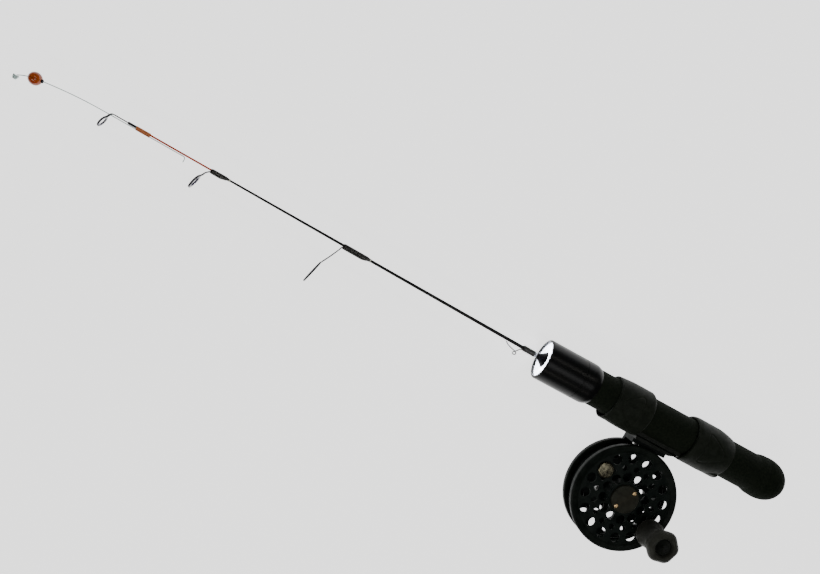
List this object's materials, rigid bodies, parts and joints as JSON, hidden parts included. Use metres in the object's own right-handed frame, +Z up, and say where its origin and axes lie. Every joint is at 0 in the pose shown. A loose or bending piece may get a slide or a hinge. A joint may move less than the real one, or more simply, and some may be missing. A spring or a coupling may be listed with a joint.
{
  "type": "ice fishing rod",
  "caption": "Short ice fishing rod with a lit front housing, foam grip, in-line reel with ported spool, two line guides, orange solid tip and a spring bobber.",
  "frame": {"origin": "where the reel's spin axis meets the ground, at the centre of the drag knob's face", "axes": "+X along the handle towards the rod's tip, +Y from the handle towards the reel's side, +Z up, out of the spool's face with the crank knob"},
  "size_m": [0.5374, 0.1032, 0.0471],
  "materials": {
    "foam": "matte closed-cell foam",
    "cap_rubber": "matte moulded",
    "tube_alloy": "satin tube",
    "housing": "high gloss black",
    "dark_plastic": "satin black",
    "graphite": "clear-coated graphite",
    "orange_tip": "solid orange glass fibre",
    "winding": "black thread under clear resin",
    "black_wire": "black plated wire",
    "ceramic": "polished dark ceramic",
    "trim": "pale thread under resin",
    "sleeve": "soft pale orange tube",
    "lens": "clear",
    "led_board": "white lacquered board",
    "led": "clear white",
    "reflector": "polished",
    "contact_brass": "plated",
    "seal_rubber": "smooth",
    "carrier": "natural nylon",
    "cell_steel": "plain",
    "spring_steel": "drawn wire",
    "seat_rubber": "soft semi-matte",
    "foot_plastic": "satin black",
    "screw_steel": "turned",
    "reel_black": "black anodised",
    "washer_fabric": "pressed felt",
    "drag_plastic": "fine grained",
    "bush_brass": "turned",
    "gear_plastic": "natural acetal",
    "weight_chrome": "warm polished",
    "cap_brown": "dark brown satin",
    "rivet_gold": "polished",
    "knob_rubber": "soft semi-matte",
    "knob_plug": "satin",
    "bobber_steel": "drawn wire",
    "bead_orange": "glossy translucent orange",
    "coil_teal": "pale wire"
  },
  "bodies": {
    "handle": {"butt_cap": "cap_rubber", "grip_foam": "foam", "core_tube": "tube_alloy", "rear_collar": "housing", "cone_ferrule": "dark_plastic", "blank": "graphite", "orange_tip": "orange_tip", "keeper_winding": "winding", "hook_keeper": "black_wire", "lower_winding": "winding", "lower_guide_frame": "black_wire", "lower_guide_ring": "ceramic", "upper_winding": "winding", "upper_guide_frame": "black_wire", "upper_guide_ring": "ceramic", "tip_tube": "black_wire", "tip_frame": "black_wire", "tip_ring": "ceramic", "trim_bands": "trim", "bobber_sleeve": "sleeve", "o_ring": "seal_rubber", "cell_carrier": "carrier", "button_cells": "cell_steel", "contact_plate": "contact_brass", "contact_springs": "spring_steel", "reel_foot": "foot_plastic", "foot_screws": "screw_steel", "frame_disc": "reel_black", "reel_stem": "reel_black", "spindle": "screw_steel", "spindle_screw": "screw_steel", "pawl_pin": "screw_steel", "pawl_spring": "spring_steel", "drag_washers": "washer_fabric", "drag_spring": "spring_steel"},
    "light_head": {"head_shell": "housing", "lens": "lens", "led_board": "led_board", "leds": "led", "reflector": "reflector", "head_contact": "contact_brass"},
    "front_seat": {"front_ring": "seat_rubber"},
    "rear_seat": {"rear_ring": "seat_rubber"},
    "drag": {"drag_knob": "drag_plastic"},
    "pawl": {"click_pawl": "spring_steel"},
    "spool": {"spool_face": "reel_black", "spool_arbor": "reel_black", "rear_flange": "reel_black", "spool_screws": "screw_steel", "spool_bush": "bush_brass", "click_gear": "gear_plastic", "counterweight": "weight_chrome", "centre_cap": "cap_brown", "cap_rivets": "rivet_gold", "knob_post": "screw_steel"},
    "knob": {"crank_knob": "knob_rubber", "knob_plug": "knob_plug"},
    "bobber": {"bobber_wire": "bobber_steel", "bobber_bead": "bead_orange", "bobber_coil": "coil_teal"}
  },
  "joints": [
    {"name": "light_switch", "type": "hinge", "parent": "handle", "child": "light_head", "pos_m": [0.076, -0.0531, 0.01405], "axis": [1, 0, 0], "range_deg": [0, 90]},
    {"name": "front_ring_slide", "type": "slide", "parent": "handle", "child": "front_seat", "axis": [1, 0, 0], "range_m": [0, 0.012]},
    {"name": "rear_ring_slide", "type": "slide", "parent": "handle", "child": "rear_seat", "axis": [-1, 0, 0], "range_m": [0, 0.0215]},
    {"name": "drag_turn", "type": "hinge", "parent": "handle", "child": "drag", "pos_m": [0, 0, 0.001], "axis": [0, 0, 1], "range_deg": [0, 300]},
    {"name": "pawl_rock", "type": "hinge", "parent": "handle", "child": "pawl", "pos_m": [0.0116, 0.0042, 0.0088], "axis": [0, 0, 1], "range_deg": [-8, 8], "stiffness_Nm_per_rad": 0.001},
    {"name": "spool_spin", "type": "hinge", "parent": "handle", "child": "spool", "pos_m": [0, 0, 0.015], "axis": [0, 0, 1], "continuous": true},
    {"name": "knob_spin", "type": "hinge", "parent": "spool", "child": "knob", "pos_m": [-0.02556, 0.01192, 0.03], "axis": [0, 0, 1], "continuous": true},
    {"name": "bobber_slide", "type": "slide", "parent": "handle", "child": "bobber", "axis": [0.9998, -0.0183, 0], "range_m": [-0.012, 0.018]}
  ]
}
